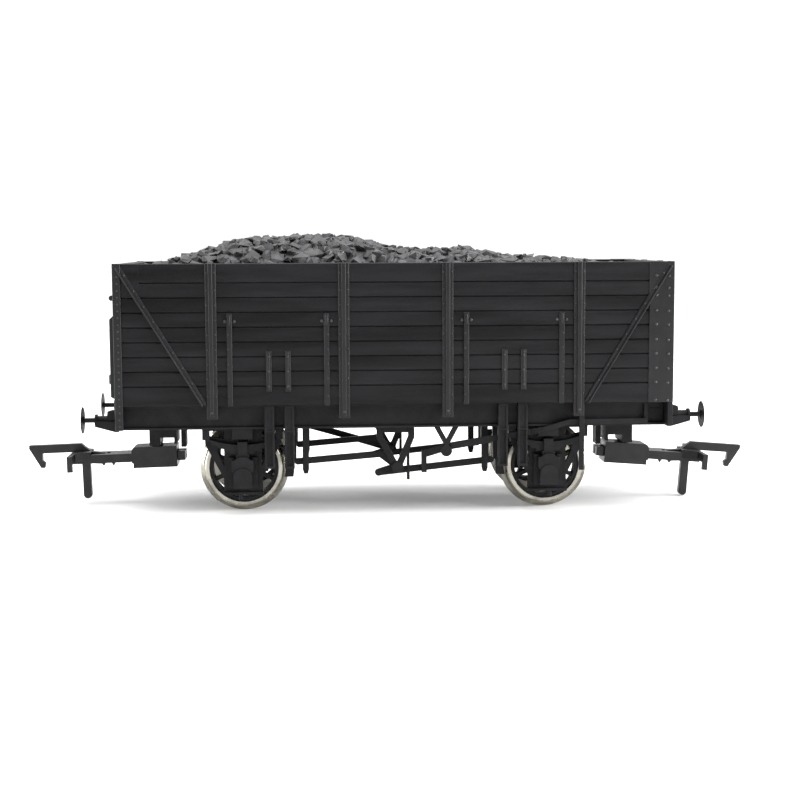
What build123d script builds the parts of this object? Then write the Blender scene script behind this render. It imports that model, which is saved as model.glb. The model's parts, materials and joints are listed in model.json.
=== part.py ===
"""4 mm scale (1:76) nine-plank open coal wagon with a lift-out coal load, in millimetres.

X runs along the wagon, with the end door at -X. -Y is the front side, +Z is up. The origin is
the middle of the wagon, at the level of the bottom of the wheel flanges.
Each function makes one sub-part where it belongs on the wagon; write_parts() saves them all.
"""

from build123d import *
import math
import os

# ---- wheels and track (OO: 16.5 mm gauge) ----
FLANGE_DEPTH = 0.8
TREAD_R = 6.3
FLANGE_R = TREAD_R + FLANGE_DEPTH
AXLE_Z = FLANGE_R
AXLE_X = 24.0
WHEEL_BACK = 7.25
WHEEL_FACE = 10.05
TYRE_INNER_R = 5.45
TYRE_FACE_R = 6.0
RIM_INNER_R = 4.85
HUB_R = 1.6
SPOKES = 8
SPOKE_W = 0.64
AXLE_R = 1.0
PIN_START = 11.1
PIN_END = 12.9
PIN_TIP_R = 0.08

# ---- body ----
BODY_HALF_L = 43.0
BODY_FACE = 16.3
BODY_BOTTOM = 17.55
BODY_TOP = 39.5
WALL = 1.5
FLOOR_UNDER = 18.4
FLOOR_TOP = 19.4
TOP_PLANK = 3.0
PLANK = 2.265
GROOVE_DEPTH = 0.22
GROOVE_HALF = 0.17

FLOOR_RIB_X = (-36.0, 0.0, 36.0)
FLOOR_RIB_HALF = 0.6

# ---- body ironwork ----
POST_X = (-28.4, -8.1, 7.9, 28.35)
POST_HALF = 0.85
POST_BOTTOM = 15.55
IRON = 0.35
THIN_IRON = 0.2
RIB = 0.7
RIB_HALF = 0.36
CORNER_PLATE_IN = 39.25
DOOR_X = 18.2
DOOR_HALF = 7.43
DOOR_POST_TOP = 31.8
STRAP_HALF_GAP = 1.47
STOP_HALF_GAP = 1.55
BRACE_TOP = (42.45, BODY_TOP)
BRACE_BOTTOM = (29.55, 17.4)
BRACE_W = 0.85
BRACE_LEG_W = 0.28
END_POST_Y = 6.0
HINGE_OUT = 0.5
HINGE_Z = 34.25
HINGE_BAR_R = 0.33
HINGE_EYE_R = 0.43
END_STRAP_Y = (-9.0, 0.0, 9.0)

# ---- chassis ----
SOLEBAR_BOTTOM = 13.75
SOLEBAR_WEB = 13.2
SOLEBAR_FACE = 14.3
WEB = 0.5
LIP = 0.35
DECK_UNDER = 16.35
HEADSTOCK_INNER = 42.4
SOLEBAR_ENDS = (-HEADSTOCK_INNER, 39.7)
HEADSTOCK_OUTER = 43.2
HEADSTOCK_BOTTOM = 14.0
HEADSTOCK_HALF_W = 16.2
BALLAST_HALF_L = 38.0
BALLAST_HALF_W = 12.3
BUFFER_Y = 11.35
BUFFER_Z = 15.05
BUFFER_FACE_X = 49.1
BUFFER_R = 2.1
HOUSING_END = 47.0
SHANK_R = 0.38
GUARD_IN = 11.8
GUARD_OUT = 12.5
GUARD_BOTTOM = 3.2
CUP_R = 1.0
FIT = 0.05

# ---- brake gear ----
BRAKE_IN = 9.9
BRAKE_OUT = 10.7
SHOE_GAP = 0.3
LOOP_X = 14.2

# ---- couplings ----
# The two couplings hang a little differently: keys are the end, -1 for -X and 1 for +X.
DROP = {-1: 0.2, 1: 0.5}
DROOP = {-1: 1.6, 1: 4.3}
SEAT = {-1: 0.0, 1: 0.95}
PIVOT_X = 38.5
COUPLING_Z = 8.1
POCKET_IN = 35.3
POCKET_OUT = 42.65
POCKET_HALF_W = 2.4
POCKET_HALF_H = 1.72
SOCKET_HALF_W = 1.6
SOCKET_HALF_H = 0.85
SWING_PIN_R = 0.75
SHAFT_HALF_W = 2.3
SHAFT_HALF_H = 0.7
BAR_IN = 51.5
BAR_OUT = 52.3
BAR_HALF_W = 7.4
BAR_BOTTOM = 6.8
BAR_TOP = 9.3
BAR_UNDER = 7.95
LUG_W = 0.8
BAR_SLOT_BOTTOM = 8.6
BAR_NOTCH = 0.4
HOOK_PIN = (47.5, 8.0)
HOOK_PIN_R = 0.45
HOOK_HALF_T = 0.6
HOOK_EYE_R = 0.95
DROPPER_IN = 49.6
DROPPER_OUT = 50.95
DROPPER_BOTTOM = 2.1
SLOT_HALF = 0.75
SLOT_IN = 46.3
MOUNT_UNDER = 11.3
MOUNT_IN = 35.2
MOUNT_OUT = 39.6
MOUNT_HALF_W = 3.0
TAIL_IN = POCKET_IN - 1.3
TAIL_HALF_H = 0.75

# ---- coal load ----
LOAD_UNDER = 37.4
LOAD_RIM = 38.5
LOAD_HALF_W = 14.4
# Height of the heap along its middle, from the end-door end.
LOAD_RIDGE = ((-41.1, 38.9), (-36, 39.9), (-31, 41.5), (-27, 42.7), (-22, 43.9), (-9, 44.0),
              (-4.5, 43.2), (1, 41.8), (8, 41.7), (12, 42.1), (17, 40.7), (27, 40.2), (36, 39.2),
              (41.1, 38.7))


# ---------------------------------------------------------------- shared shapes
def box(x0, x1, y0, y1, z0, z1):
    """Box between two opposite corners."""
    middle = Pos((x0 + x1) / 2, (y0 + y1) / 2, (z0 + z1) / 2)
    return middle * Box(abs(x1 - x0), abs(y1 - y0), abs(z1 - z0))


def rod(start, end, radius, end_radius=None):
    """Round rod, or a cone, from one point to another."""
    run = Vector(*end) - Vector(*start)
    place = Plane(origin=start, z_dir=run)
    low = (Align.CENTER, Align.CENTER, Align.MIN)
    if end_radius is None:
        return place * Cylinder(radius, run.length, align=low)
    return place * Cone(radius, end_radius, run.length, align=low)


def plate_xz(outline, y0, y1):
    """Flat plate with an outline of (x, z) points, between two values of y."""
    plane = Plane(origin=(0, y1, 0), x_dir=(1, 0, 0), z_dir=(0, -1, 0))
    return extrude(plane * Polygon(*outline, align=None), amount=y1 - y0, dir=(0, -1, 0))


def plate_yz(outline, x0, x1):
    """Flat plate with an outline of (y, z) points, between two values of x."""
    plane = Plane(origin=(x0, 0, 0), x_dir=(0, 1, 0), z_dir=(1, 0, 0))
    return extrude(plane * Polygon(*outline, align=None), amount=x1 - x0, dir=(1, 0, 0))


def plate_xy(outline, z0, z1):
    """Flat plate with an outline of (x, y) points, between two heights."""
    return extrude(Plane.XY.offset(z0) * Polygon(*outline, align=None), amount=z1 - z0)


def strip_outline(start, end, width, shift=0.0):
    """Corners of a straight strip between two points, moved sideways by shift."""
    length = math.dist(start, end)
    along = ((end[0] - start[0]) / length, (end[1] - start[1]) / length)
    side = (-along[1], along[0])
    corners = []
    for point, turn in ((start, 1), (end, 1), (end, -1), (start, -1)):
        reach = shift + turn * width / 2
        corners.append((point[0] + side[0] * reach, point[1] + side[1] * reach))
    return corners


def flat_bar(points, y0, y1, width):
    """Flat bar in an XZ plane through several (x, z) points, with rounded joints."""
    shape = Part()
    for start, end in zip(points, points[1:]):
        shape += plate_xz(strip_outline(start, end, width), y0, y1)
    for x, z in points:
        shape += rod((x, y0, z), (x, y1, z), width / 2)
    return shape


def both_sides(front):
    """A front-side shape together with its mirror image on the back."""
    return front + mirror(front, about=Plane.XZ)


def at_end(shape, end):
    """A shape made for the +X end, mirrored to the end asked for."""
    return shape if end > 0 else mirror(shape, about=Plane.YZ)


def at_corner(shape, end, side):
    """A shape made for the +X end of the front, moved to one of the four corners."""
    if side < 0:
        return at_end(shape, end)
    return mirror(shape, about=Plane.XZ) if end > 0 else Rot(0, 0, 180) * shape


# ---------------------------------------------------------------- body
def plank_joints():
    """Heights of the eight joints between the nine planks."""
    return [BODY_TOP - TOP_PLANK - i * PLANK for i in range(8)]


def plank_grooves():
    """V grooves round the outside of the body, one at each plank joint."""
    cuts = []
    for z in plank_joints():
        for side in (-1, 1):
            face = side * BODY_FACE
            end = side * BODY_HALF_L
            deep = (face - side * GROOVE_DEPTH, z)
            across = [(face, z - GROOVE_HALF), (face, z + GROOVE_HALF), deep]
            cuts.append(plate_yz(across, -BODY_HALF_L, BODY_HALF_L))
            deep = (end - side * GROOVE_DEPTH, z)
            across = [(end, z - GROOVE_HALF), (end, z + GROOVE_HALF), deep]
            cuts.append(plate_xz(across, -BODY_FACE, BODY_FACE))
    return cuts


def stanchion(x):
    """T-section stanchion on the front, with its foot against the solebar."""
    face = -BODY_FACE
    flange = box(x - POST_HALF, x + POST_HALF, face - IRON, face, POST_BOTTOM, BODY_TOP)
    rib = box(x - RIB_HALF, x + RIB_HALF, face - RIB, face, POST_BOTTOM + 0.5, BODY_TOP)
    foot = box(x - 0.6, x + 0.6, face, -SOLEBAR_FACE, POST_BOTTOM, BODY_BOTTOM)
    return flange + rib + foot


def side_door(x):
    """Ironwork of one side door on the front: two door posts and two short straps."""
    face = -BODY_FACE
    shape = Part()
    for turn in (-1, 1):
        post = x + turn * DOOR_HALF
        shape += box(post - 0.4, post + 0.4, face - IRON, face, BODY_BOTTOM, DOOR_POST_TOP)
        shape += rod((post - 0.75, face - 0.2, 30.9), (post + 0.75, face - 0.2, 30.9), 0.2)
        strap = x + turn * STRAP_HALF_GAP
        shape += box(strap - 0.43, strap + 0.43, face - 0.3, face, 19.75, 26.1)
    return shape


def diagonal_brace(end):
    """Angle-section brace on the front from the top corner to the outer stanchion's foot."""
    top = (end * BRACE_TOP[0], BRACE_TOP[1])
    low = (end * BRACE_BOTTOM[0], BRACE_BOTTOM[1])
    flat = plate_xz(strip_outline(top, low, BRACE_W), -BODY_FACE - 0.25, -BODY_FACE)
    lean = end * (BRACE_W - BRACE_LEG_W) / 2
    leg = plate_xz(strip_outline(top, low, BRACE_LEG_W, lean), -BODY_FACE - 0.55, -BODY_FACE)
    inside = box(-BODY_HALF_L, BODY_HALF_L, -BODY_FACE - 1, 0, BODY_BOTTOM, BODY_TOP)
    return (flat + leg) & inside


def side_ironwork():
    """Everything that stands proud of the front side."""
    face = -BODY_FACE
    thin = face - THIN_IRON
    shape = Part()
    for x in POST_X:
        shape += stanchion(x)
    for x in (-DOOR_X, DOOR_X):
        shape += side_door(x)
    for end in (-1, 1):
        shape += diagonal_brace(end)
    shape += box(CORNER_PLATE_IN, BODY_HALF_L + THIN_IRON, thin, face, BODY_BOTTOM, BODY_TOP)
    shape += box(-BODY_HALF_L, -CORNER_PLATE_IN, thin, face, 35.2, BODY_TOP)
    shape += box(-BODY_HALF_L, -42.0, thin - 0.15, face, BODY_BOTTOM, BODY_TOP)
    return shape


def end_door():
    """Ironwork of the end door at -X: hinge bar, straps and the two corner irons."""
    end = -BODY_HALF_L
    hinge = end - HINGE_OUT
    shape = rod((hinge, -15.6, HINGE_Z), (hinge, 15.6, HINGE_Z), HINGE_BAR_R)
    for y in (-15.3, 15.3):
        shape += rod((hinge, y - 0.45, HINGE_Z), (hinge, y + 0.45, HINGE_Z), HINGE_EYE_R)
    shape += both_sides(box(end - 0.25, end, -15.6, -15.0, HINGE_Z - 0.4, HINGE_Z + 0.4))
    for y in END_STRAP_Y:
        shape += box(end - 0.6, end, y - 0.65, y + 0.65, BODY_BOTTOM, HINGE_Z + 0.35)
    iron = [(end, 18.6), (end - 0.9, 19.1), (end - 0.9, 31.0), (end, 31.9)]
    catch = box(end - 1.15, end, -15.6, -14.6, 21.1, 22.5)
    shape += both_sides(plate_xz(iron, -15.9, -14.5) + catch)
    return shape


def fixed_end():
    """Two T-section stanchions and the wrapped corner plates at the +X end."""
    end = BODY_HALF_L
    shape = Part()
    for y in (-END_POST_Y, END_POST_Y):
        shape += box(end, end + IRON, y - POST_HALF, y + POST_HALF, BODY_BOTTOM, BODY_TOP)
        shape += box(end, end + RIB, y - RIB_HALF, y + RIB_HALF, BODY_BOTTOM, BODY_TOP)
    shape += both_sides(box(end, end + THIN_IRON, -BODY_FACE, -BODY_FACE + 3.2, BODY_BOTTOM, BODY_TOP))
    return shape


def body_shell():
    """Open box body: planked sides and ends, floor, ribs that carry the load, and ironwork."""
    inner_x = BODY_HALF_L - WALL
    inner_y = BODY_FACE - WALL
    shell = box(-BODY_HALF_L, BODY_HALF_L, -BODY_FACE, BODY_FACE, BODY_BOTTOM, BODY_TOP)
    shell -= box(-inner_x, inner_x, -inner_y, inner_y, FLOOR_TOP, BODY_TOP + 1)
    well_x = BALLAST_HALF_L + 0.1
    well_y = BALLAST_HALF_W + 0.1
    shell -= box(-well_x, well_x, -well_y, well_y, BODY_BOTTOM - 1, FLOOR_UNDER)
    shell -= plank_grooves()
    ribs = Part()
    half = FLOOR_RIB_HALF
    for x in FLOOR_RIB_X:
        ribs += box(x - half, x + half, -inner_y, -inner_y + 0.6, FLOOR_TOP, LOAD_UNDER - FIT)
    return shell + both_sides(ribs + side_ironwork()) + end_door() + fixed_end()


def coal_load():
    """Loose-fitting moulded heap of coal: flat underneath, domed and uneven on top."""
    sections = []
    for x, ridge in LOAD_RIDGE:
        rise = ridge - LOAD_RIM
        shoulder = LOAD_RIM + 0.72 * rise
        outline = [(-LOAD_HALF_W, LOAD_UNDER), (LOAD_HALF_W, LOAD_UNDER), (LOAD_HALF_W, LOAD_RIM),
                   (8.5, shoulder), (0, ridge), (-8.5, shoulder), (-LOAD_HALF_W, LOAD_RIM)]
        plane = Plane(origin=(x, 0, 0), x_dir=(0, 1, 0), z_dir=(1, 0, 0))
        sections.append(plane * Polygon(*outline, align=None))
    return loft(sections, ruled=True)


# ---------------------------------------------------------------- chassis
def chassis_deck():
    """Plate that ties the solebars, headstocks and running gear together."""
    return box(-HEADSTOCK_INNER, HEADSTOCK_INNER, -SOLEBAR_WEB, SOLEBAR_WEB, DECK_UNDER, BODY_BOTTOM)


def ballast_plate():
    """Steel weight that lies on the deck, under the body floor."""
    half_l = BALLAST_HALF_L
    half_w = BALLAST_HALF_W
    return box(-half_l, half_l, -half_w, half_w, BODY_BOTTOM, FLOOR_UNDER - 0.02)


def front_solebar():
    """Channel-section solebar, flanges outwards; only its bottom flange reaches the headstocks."""
    face = -SOLEBAR_FACE
    back = -SOLEBAR_WEB
    start, stop = SOLEBAR_ENDS
    bar = box(start, stop, back - WEB, back, SOLEBAR_BOTTOM, BODY_BOTTOM)
    bar += box(start, stop, face, back, BODY_BOTTOM - LIP, BODY_BOTTOM)
    bar += box(stop - 0.6, stop, face, back, SOLEBAR_BOTTOM, BODY_BOTTOM)
    length = HEADSTOCK_INNER
    bar += box(-length, length, face, back, SOLEBAR_BOTTOM, SOLEBAR_BOTTOM + LIP)
    return bar + box(-length, length, back, back + 0.4, SOLEBAR_BOTTOM, DECK_UNDER)


def front_buffer_housing():
    """Housing of the front buffer at +X: barrel and collar, block above it and wider web below."""
    start = HEADSTOCK_OUTER
    y = -BUFFER_Y
    z = BUFFER_Z
    shape = rod((start, y, z), (HOUSING_END, y, z), 0.7)
    shape += rod((HOUSING_END - 0.4, y, z), (HOUSING_END, y, z), 0.95)
    block = [(start, z), (start, z + 1.8), (45.0, z + 1.4), (45.1, z)]
    shape += plate_xz(block, y - 0.9, y + 0.9)
    nose = HOUSING_END - 0.1
    web = [(start, z - 0.1), (start, z - 1.75), (43.8, z - 1.75), (nose, z - 0.9), (nose, z - 0.1)]
    shape += plate_xz(web, y - 1.3, y + 1.3)
    bore = rod((HOUSING_END - 2.0, y, z), (HOUSING_END + 1, y, z), SHANK_R)
    return shape - bore


def headstock():
    """Headstock at +X: a plain beam as wide as the body."""
    half = HEADSTOCK_HALF_W
    return box(HEADSTOCK_INNER, HEADSTOCK_OUTER, -half, half, HEADSTOCK_BOTTOM, BODY_BOTTOM)


def front_buffer():
    """Buffer at +X, front: round head on a thin shank that fits the housing."""
    y = -BUFFER_Y
    z = BUFFER_Z
    rim = BUFFER_FACE_X - 0.12
    head_back = rim - 0.13
    shape = rod((HOUSING_END - 2.0, y, z), (head_back, y, z), SHANK_R)
    shape += rod((head_back - 0.25, y, z), (head_back, y, z), SHANK_R, 0.8)
    shape += rod((head_back, y, z), (rim, y, z), BUFFER_R)
    shape += rod((rim, y, z), (BUFFER_FACE_X, y, z), BUFFER_R, BUFFER_R - 0.8)
    return shape


# ---------------------------------------------------------------- axle guards and bearings
def leaf(half_length, top, thickness):
    """One spring leaf: outline of (x, z) points curving up towards its ends."""
    curve = 0.033
    steps = [half_length * i / 6 for i in range(-6, 7)]
    upper = [(x, top + curve * x * x) for x in steps]
    lower = [(x, z - thickness) for x, z in reversed(upper)]
    return upper + lower


def front_spring():
    """Leaf spring with its buckle and end shoes, centred on x = 0, front side."""
    thickness = 0.3
    shape = Part()
    for i, half_length in enumerate((5.8, 4.9, 3.9, 2.9, 1.9)):
        shape += plate_xz(leaf(half_length, 11.2 - i * thickness, thickness + 0.02), -13.7, -12.5)
    for x in (-5.7, 5.7):
        shape += box(x - 0.55, x + 0.55, -13.7, -12.5, 12.0, SOLEBAR_BOTTOM)
    shape += box(-0.75, 0.75, -14.2, -12.5, 9.6, 11.7)
    shape += box(-1.6, 1.6, -13.9, -12.5, 12.1, SOLEBAR_BOTTOM)
    return shape


def front_axlebox():
    """Axlebox with its lid, centred on x = 0, front side."""
    shape = box(-1.7, 1.7, -14.8, -GUARD_OUT, 7.3, 8.9)
    shape += rod((0, -14.8, 7.75), (0, -GUARD_OUT, 7.75), 1.7)
    shape += box(-1.0, 1.0, -14.2, -GUARD_OUT, 9.0, 9.8)
    shape += box(-1.4, 1.4, -15.1, -GUARD_OUT, 4.5, 6.6)
    shape += rod((0, -15.1, 6.3), (0, -GUARD_OUT, 6.3), 1.4)
    for x in (-1.8, 1.8):
        shape += box(x - 0.42, x + 0.42, -13.5, -GUARD_OUT, 4.4, 9.2)
    return shape


def front_axle_guard():
    """W-shaped axle guard with spring, axlebox, keeper and bearing hole, front side."""
    legs = [(-5.9, DECK_UNDER), (-5.9, 11.2), (-3.05, 5.8), (-3.05, GUARD_BOTTOM),
            (3.05, GUARD_BOTTOM), (3.05, 5.8), (5.9, 11.2), (5.9, DECK_UNDER)]
    guard = plate_xz(legs, -GUARD_OUT, -GUARD_IN)
    for side in (-1, 1):
        corner = [(2.95, 13.3), (5.4, 13.3), (5.4, 12.5), (2.95, 12.0)]
        slot = [(2.95, 10.5), (4.0, 10.5), (3.8, 9.5), (2.95, 7.7)]
        for gap in (corner, slot):
            outline = [(side * x, z) for x, z in gap]
            guard -= plate_xz(outline, -GUARD_OUT - 1, -GUARD_IN + 1)
    guard += box(-3.1, 3.1, -13.1, -GUARD_IN, GUARD_BOTTOM, GUARD_BOTTOM + 0.45)
    guard += rod((0.4, -12.7, GUARD_BOTTOM - 0.8), (0.4, -12.7, GUARD_BOTTOM + 0.1), 0.32)
    guard += front_spring() + front_axlebox()
    guard -= rod((0, -GUARD_IN + 1, AXLE_Z), (0, -13.7, AXLE_Z), CUP_R)
    return guard


def front_bearing_cup():
    """Top-hat bearing cup with a conical seat for the axle's point, centred on x = 0."""
    cup = rod((0, -GUARD_IN, AXLE_Z), (0, -13.6, AXLE_Z), CUP_R - 0.01)
    cup += rod((0, -GUARD_IN + 0.3, AXLE_Z), (0, -GUARD_IN, AXLE_Z), 1.4)
    mouth = GUARD_IN - 0.3
    slope = (AXLE_R - PIN_TIP_R) / (PIN_END - PIN_START)
    mouth_r = AXLE_R - (mouth - PIN_START) * slope + FIT + 0.01
    seat_end = PIN_END + 0.1
    seat = rod((0, -mouth, AXLE_Z), (0, -seat_end, AXLE_Z), mouth_r, 0.1)
    return cup - seat


# ---------------------------------------------------------------- wheelsets
def axle():
    """Plain axle with a point at each end, centred on x = 0."""
    shape = rod((0, -PIN_START, AXLE_Z), (0, PIN_START, AXLE_Z), AXLE_R)
    for side in (-1, 1):
        root = (0, side * PIN_START, AXLE_Z)
        shape += rod(root, (0, side * PIN_END, AXLE_Z), AXLE_R, PIN_TIP_R)
    return shape


def front_tyre():
    """Flanged tyre, turned about the axle, centred on x = 0."""
    profile = [(TYRE_INNER_R, -WHEEL_BACK), (6.85, -WHEEL_BACK), (FLANGE_R, -7.5), (FLANGE_R, -7.7),
               (6.5, -8.05), (TREAD_R, -8.4), (6.25, -9.75), (TYRE_FACE_R, -WHEEL_FACE),
               (TYRE_INNER_R, -WHEEL_FACE)]
    return Pos(0, 0, AXLE_Z) * revolve(Polygon(*profile, align=None), axis=Axis.Y)


def front_wheel_centre():
    """Open spoked centre: rim, hub and spokes, centred on x = 0."""
    rim = rod((0, -9.8, 0), (0, -7.5, 0), TYRE_INNER_R)
    rim -= rod((0, -11, 0), (0, -7, 0), RIM_INNER_R)
    shape = rim + rod((0, -9.9, 0), (0, -7.4, 0), HUB_R)
    for i in range(SPOKES):
        spoke = box(HUB_R - 0.3, RIM_INNER_R + 0.2, -9.4, -8.0, -SPOKE_W / 2, SPOKE_W / 2)
        shape += Rot(0, 360 * (i + 0.5) / SPOKES, 0) * spoke
    shape -= rod((0, -11, 0), (0, -7, 0), AXLE_R)
    return Pos(0, 0, AXLE_Z) * shape


# ---------------------------------------------------------------- brake gear
def front_v_hanger():
    """V hanger that carries the brake shaft, with the top plate between its legs."""
    left = [(-2.5, DECK_UNDER), (-2.5, 11.9), (0.2, 7.0)]
    right = [(2.5, DECK_UNDER), (2.5, 11.9), (0.4, 7.0)]
    shape = flat_bar(left, -11.5, -10.8, 1.0) + flat_bar(right, -11.5, -10.8, 1.0)
    shape += box(-2.5, 2.5, -11.3, -10.9, 12.6, DECK_UNDER)
    shape += rod((0.3, -11.9, 7.1), (0.3, -10.7, 7.1), 0.95)
    shape += rod((2.0, -11.2, 5.1), (2.0, -11.2, 11.0), 0.24)
    return shape & box(-5, 5, -13, -9, 4, DECK_UNDER)


def front_push_rods():
    """The two push rods and the crank between them, behind the V hanger."""
    left = [(-15.5, 8.05), (-2.3, 9.1)]
    right = [(-2.7, 6.15), (15.2, 8.0)]
    crank = [(-2.3, 9.1), (0.3, 7.1), (-2.7, 6.15)]
    shape = flat_bar(left, -BRAKE_OUT, -BRAKE_IN, 1.0) + flat_bar(right, -BRAKE_OUT, -BRAKE_IN, 1.0)
    return shape + flat_bar(crank, -BRAKE_OUT, -BRAKE_IN, 1.1)


def front_safety_loops():
    """Two hangers with narrowed tips, one outside each push rod."""
    outline = [(-0.5, DECK_UNDER), (-0.5, 6.9), (-0.3, 6.2), (0.3, 6.2), (0.5, 6.9), (0.5, DECK_UNDER)]
    loop = plate_xz(outline, -11.3, -BRAKE_OUT)
    return Pos(-LOOP_X, 0, 0) * loop + Pos(LOOP_X, 0, 0) * loop


def front_brake_shoe():
    """Shoe on the inner side of the +X wheel's tread, with its hanger."""
    inner = TREAD_R + SHOE_GAP
    outer = inner + 1.35
    centre = Vector(AXLE_X, 0, AXLE_Z)
    ring = rod((centre.X, -9.8, centre.Z), (centre.X, -8.5, centre.Z), outer)
    ring -= rod((centre.X, -10, centre.Z), (centre.X, -8, centre.Z), inner)
    shoe = ring & box(15.9, 19.0, -10, -8, 5.5, 10.4)
    hanger = [(15.6, DECK_UNDER), (16.35, DECK_UNDER), (16.6, 8.0), (15.7, 8.0)]
    return shoe + plate_xz(hanger, -9.7, -8.6)


def lever(route):
    """Long flat lever through (x, y, z) points, tapering from its pivot to its handle."""
    heights = (1.1, 1.1, 0.9, 0.9, 0.8, 0.8)
    shape = Part()
    for start, end, height in zip(route, route[1:], heights):
        run = Vector(*end) - Vector(*start)
        place = Plane(origin=start, x_dir=run, z_dir=run.cross(Vector(0, 1, 0)))
        low = (Align.MIN, Align.CENTER, Align.CENTER)
        shape += place * Box(run.length + 0.1, 0.4, height, align=low)
    return shape


def front_brake_lever():
    """Front brake lever: link to the push rod, then bent out past the axle guard."""
    route = [(4.5, -11.75, 9.2), (8.6, -13.0, 10.6), (14.8, -13.95, 11.75), (21.2, -13.95, 12.85),
             (23.0, -14.6, 13.2), (27.2, -14.85, 14.45), (39.4, -14.85, 14.5)]
    return lever(route) + box(4.1, 4.9, -12.0, -BRAKE_OUT, 6.3, 9.7)


def lever_bracket():
    """Small V bracket that carries the front brake lever near its pivot."""
    bracket = flat_bar([(6.4, SOLEBAR_BOTTOM), (7.9, 11.0), (9.4, SOLEBAR_BOTTOM)], -13.7, -13.25, 0.8)
    bracket &= box(5, 11, -14, -13, 9, SOLEBAR_BOTTOM)
    return bracket + rod((7.9, -13.7, 9.9), (7.9, -13.25, 9.9), 0.9)


def back_brake_lever():
    """Back brake lever: runs from the brake shaft straight up to the -X end."""
    route = [(-0.3, 12.15, 7.1), (-7.0, 12.6, 9.1), (-14.8, 13.95, 11.2), (-21.2, 13.95, 12.6),
             (-23.0, 14.6, 13.0), (-27.2, 14.85, 14.45), (-39.4, 14.85, 14.5)]
    return lever(route) + rod((0.3, 11.92, 7.1), (0.3, 12.4, 7.1), 0.95)


def lever_guard():
    """Upright guard that holds the front lever against the solebar."""
    guard = box(28.6, 29.4, -15.6, -15.15, 6.9, 15.5)
    guard += box(28.6, 29.4, -15.6, -SOLEBAR_FACE, 15.0, 15.5)
    return guard


def front_door_stop():
    """Hanging channel-section door stop, centred on x = 0, front side."""
    stop = box(-0.76, 0.76, -15.25, -SOLEBAR_FACE, 7.6, BODY_BOTTOM - 0.02)
    stop -= box(-0.46, 0.46, -16, -14.85, 8.0, 13.3)
    stop -= box(-0.46, 0.46, -16, -15.05, 13.6, BODY_BOTTOM - 0.4)
    return stop


def front_door_stops():
    """The four door stops of the front side, a pair under each side door."""
    shape = Part()
    for x in (-DOOR_X, DOOR_X):
        for side in (-1, 1):
            shape += Pos(x + side * STOP_HALF_GAP, 0, 0) * front_door_stop()
    return shape


# ---------------------------------------------------------------- couplings, made for the +X end
def settle(shape, end):
    """Tilts a coupling piece outwards and down about the top of the swing pivot, at one end's height."""
    about = Pos(PIVOT_X, 0, COUPLING_Z + POCKET_HALF_H)
    return Pos(0, 0, -DROP[end]) * about * Rot(0, DROOP[end], 0) * about.inverse() * shape


def coupling_mount(end):
    """Bracket under the deck with the swing pin, and the stop rib behind the coupling's tail."""
    drop = DROP[end]
    under = MOUNT_UNDER - drop
    half = MOUNT_HALF_W
    shape = box(MOUNT_IN, MOUNT_OUT, -half, half, under, DECK_UNDER)
    shape += box(MOUNT_OUT - 1.7, MOUNT_OUT, -half, half, 10.0 - drop, under)
    shape += box(MOUNT_IN, MOUNT_IN + 0.4, -half, half, 10.3 - drop, under)
    shape += rod((PIVOT_X, 0, 9.2 - drop), (PIVOT_X, 0, 10.2 - drop), SWING_PIN_R)
    shape += box(33.8, 34.6, -1.6, 1.6, 9.6 - drop, DECK_UNDER)
    return shape


def coupling_pocket(end):
    """Standard coupling pocket: a rectangular socket that swings on the pin above it."""
    z = COUPLING_Z
    under = z - POCKET_HALF_H
    top = z + POCKET_HALF_H
    out = POCKET_OUT
    outline = [(POCKET_IN, under), (out - 0.25, under), (out - 0.25, under + 0.8), (out, under + 0.8),
               (out, top - 0.6), (out - 0.2, top - 0.2), (out - 0.6, top), (POCKET_IN, top)]
    block = plate_xz(outline, -POCKET_HALF_W, POCKET_HALF_W)
    block -= box(30, 45, -SOCKET_HALF_W, SOCKET_HALF_W, z - SOCKET_HALF_H, z + SOCKET_HALF_H)
    hole = rod((PIVOT_X, 0, z - DROP[end]), (PIVOT_X, 0, 12), SWING_PIN_R + FIT)
    return settle(block, end) - hole


def coupling_tail():
    """Split plug tail of the coupling, clipped into the pocket."""
    z = COUPLING_Z
    low = z - TAIL_HALF_H
    high = z + TAIL_HALF_H
    tail = box(TAIL_IN, POCKET_OUT + 0.1, -1.5, 1.5, low, high)
    tail -= box(30, 39.0, -0.4, 0.4, z - 2, z + 2)
    for side in (-1, 1):
        tail += box(TAIL_IN, POCKET_IN - 0.15, side * 1.2, side * 1.9, low, high)
    return tail


def coupling_head(start):
    """Shaft from start outwards, with the cross bar and its end lugs, two gussets and the hook's slot."""
    under = COUPLING_Z - SHAFT_HALF_H
    head = box(start, BAR_OUT, -SHAFT_HALF_W, SHAFT_HALF_W, under, COUPLING_Z + SHAFT_HALF_H)
    head += box(BAR_IN, BAR_OUT, -BAR_HALF_W, BAR_HALF_W, BAR_UNDER, BAR_TOP)
    head += both_sides(box(BAR_IN, BAR_OUT, -BAR_HALF_W, -BAR_HALF_W + LUG_W, BAR_BOTTOM, BAR_TOP))
    gussets = [(49.3, SHAFT_HALF_W), (49.3, -SHAFT_HALF_W), (BAR_OUT, -4.4), (BAR_OUT, 4.4)]
    head += plate_xy(gussets, BAR_UNDER, BAR_TOP)
    for x in (45.6, 47.2):
        nub = [(x - 0.35, under + 0.1), (x + 0.35, under + 0.1), (x, under - 0.5)]
        head += both_sides(plate_xz(nub, -SHAFT_HALF_W, -SHAFT_HALF_W + 0.8))
    head -= box(SLOT_IN, BAR_IN + BAR_NOTCH, -SLOT_HALF, SLOT_HALF, 5, 11)
    head -= box(BAR_IN - 1, BAR_OUT + 1, -0.95, 0.95, BAR_SLOT_BOTTOM, BAR_TOP + 1)
    x, z = HOOK_PIN
    return head + rod((x, -1.2, z), (x, 1.2, z), HOOK_PIN_R)


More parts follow.
